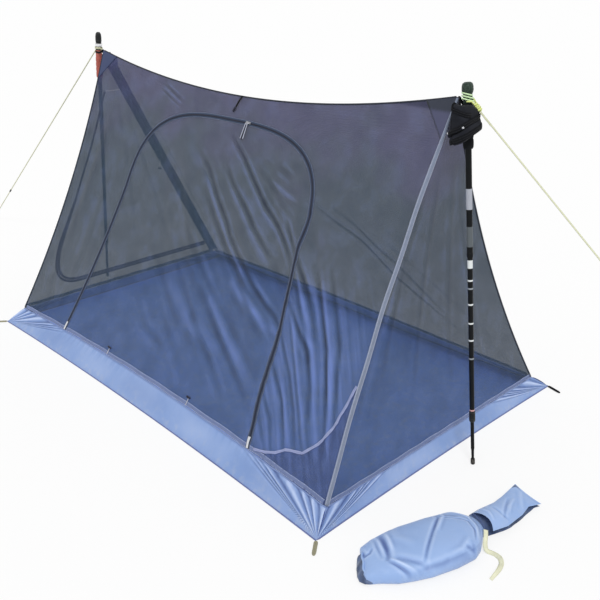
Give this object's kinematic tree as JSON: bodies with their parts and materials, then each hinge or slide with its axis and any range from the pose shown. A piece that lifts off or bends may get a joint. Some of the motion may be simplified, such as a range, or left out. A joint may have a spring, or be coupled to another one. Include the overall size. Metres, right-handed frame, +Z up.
{
  "type": "mosquito net tent",
  "caption": "Ridge tent of mosquito netting on a bathtub floor, hung between two telescoping poles, with an arched zip door, an end door, guylines and a stuff sack beside it.",
  "frame": {"origin": "middle of the floor sheet's underside, on the ground", "axes": "+X along the ridge towards the near end, +Y from the arched door to the back panel, +Z up"},
  "size_m": [4.5368, 1.3414, 1.2248],
  "materials": {
    "netting": "fine knitted mosquito mesh",
    "floor_nylon": "coated woven nylon",
    "wall_nylon": "coated woven nylon, lighter outside",
    "dark_tape": "dark bias tape",
    "light_tape": "pale lilac bias tape",
    "zip_coil": "coil zip on dark tape",
    "zip_metal": "plated zip slider",
    "moulded_plastic": "moulded, fine grained",
    "black_webbing": "black webbing",
    "olive_webbing": "olive webbing",
    "pole_tube": "black anodised",
    "foam_grip": "dark foam",
    "cork_grip": "red-orange foam",
    "bright_ring": "silver ring",
    "rubber": "moulded rubber",
    "green_cord": "yellow-green braided cord",
    "pale_cord": "pale braided cord"
  },
  "bodies": {
    "tent": {"cord_wraps_far": "pale_cord", "cord_wraps_near": "green_cord", "corner_loop_far_back": "olive_webbing", "corner_loop_far_front": "olive_webbing", "corner_loop_near_back": "black_webbing", "corner_loop_near_front": "olive_webbing", "floor_hem": "dark_tape", "floor_sheet": "floor_nylon", "gusset_tape": "light_tape", "guy_knot_near": "green_cord", "guyline_far": "pale_cord", "guyline_near": "pale_cord", "hip_tape_far_back": "dark_tape", "hip_tape_far_front": "dark_tape", "hip_tape_near_back": "dark_tape", "hip_tape_near_front": "light_tape", "net_back": "netting", "net_far_end": "netting", "net_front": "netting", "net_near_end": "netting", "peak_cap_far": "dark_tape", "peak_cap_near": "dark_tape", "peak_loop_far": "black_webbing", "peak_loop_near": "black_webbing", "pole_far_grip": "cork_grip", "pole_far_grip_head": "moulded_plastic", "pole_far_grip_ring": "bright_ring", "pole_far_upper_tube": "pole_tube", "pole_near_grip": "foam_grip", "pole_near_grip_head": "moulded_plastic", "pole_near_upper_tube": "pole_tube", "ridge_seam": "dark_tape", "ridge_tie": "moulded_plastic", "rim_seam": "wall_nylon", "wall_back": "wall_nylon", "wall_far_end": "wall_nylon", "wall_front": "wall_nylon", "wall_near_end": "wall_nylon", "wrist_strap": "black_webbing", "zip_far": "zip_coil", "zip_front_frame": "zip_coil"},
    "front_door": {"door_front": "netting", "zip_front_door": "zip_coil"},
    "far_door": {"door_far": "netting"},
    "zip_slider": {"zip_slider": "zip_metal"},
    "zip_pull": {"zip_pull": "light_tape"},
    "near_pole_middle": {"pole_near_middle_tube": "pole_tube", "pole_near_lock": "moulded_plastic"},
    "near_pole_lower": {"pole_near_lower_tube": "pole_tube", "pole_near_foot": "rubber"},
    "far_pole_middle": {"pole_far_middle_tube": "pole_tube", "pole_far_lock": "moulded_plastic"},
    "far_pole_lower": {"pole_far_lower_tube": "pole_tube", "pole_far_foot": "rubber"},
    "near_tensioner": {"tensioner_near": "moulded_plastic"},
    "far_tensioner": {"tensioner_far": "moulded_plastic"},
    "stuff_sack": {"sack_body": "wall_nylon", "sack_hood": "wall_nylon", "sack_strap": "pale_cord"}
  },
  "joints": [
    {"name": "front_door_fold", "type": "hinge", "parent": "tent", "child": "front_door", "pos_m": [0, -0.5385, 0.0665], "axis": [1, 0, 0], "range_deg": [0, 118]},
    {"name": "far_door_fold", "type": "hinge", "parent": "tent", "child": "far_door", "pos_m": [-0.943, 0.4785, 0.125], "axis": [0, -0.4497, 0.8932], "range_deg": [0, 70]},
    {"name": "zip_travel", "type": "slide", "parent": "tent", "child": "zip_slider", "axis": [1, 0, 0], "range_m": [-0.18, 0.02]},
    {"name": "zip_pull_flip", "type": "hinge", "parent": "zip_slider", "child": "zip_pull", "pos_m": [0.0713, -0.0467, 0.9765], "axis": [-1, 0, 0], "range_deg": [0, 150]},
    {"name": "near_pole_middle_slide", "type": "slide", "parent": "tent", "child": "near_pole_middle", "axis": [-0.1117, 0, 0.9937], "range_m": [0, 0.34]},
    {"name": "near_pole_lower_slide", "type": "slide", "parent": "near_pole_middle", "child": "near_pole_lower", "axis": [-0.1117, 0, 0.9937], "range_m": [0, 0.134]},
    {"name": "far_pole_middle_slide", "type": "slide", "parent": "tent", "child": "far_pole_middle", "axis": [0.1432, 0, 0.9897], "range_m": [0, 0.325]},
    {"name": "far_pole_lower_slide", "type": "slide", "parent": "far_pole_middle", "child": "far_pole_lower", "axis": [0.1432, 0, 0.9897], "range_m": [0, 0.165]},
    {"name": "near_tensioner_slide", "type": "slide", "parent": "tent", "child": "near_tensioner", "axis": [0.5938, 0.3171, -0.7395], "range_m": [-0.9, 0.38]},
    {"name": "far_tensioner_slide", "type": "slide", "parent": "tent", "child": "far_tensioner", "axis": [-0.8079, 0, -0.5893], "range_m": [-1.2, 0.38]},
    {"name": "sack_lift", "type": "slide", "parent": "tent", "child": "stuff_sack", "axis": [0, 0, 1], "range_m": [0, 0.3]}
  ]
}
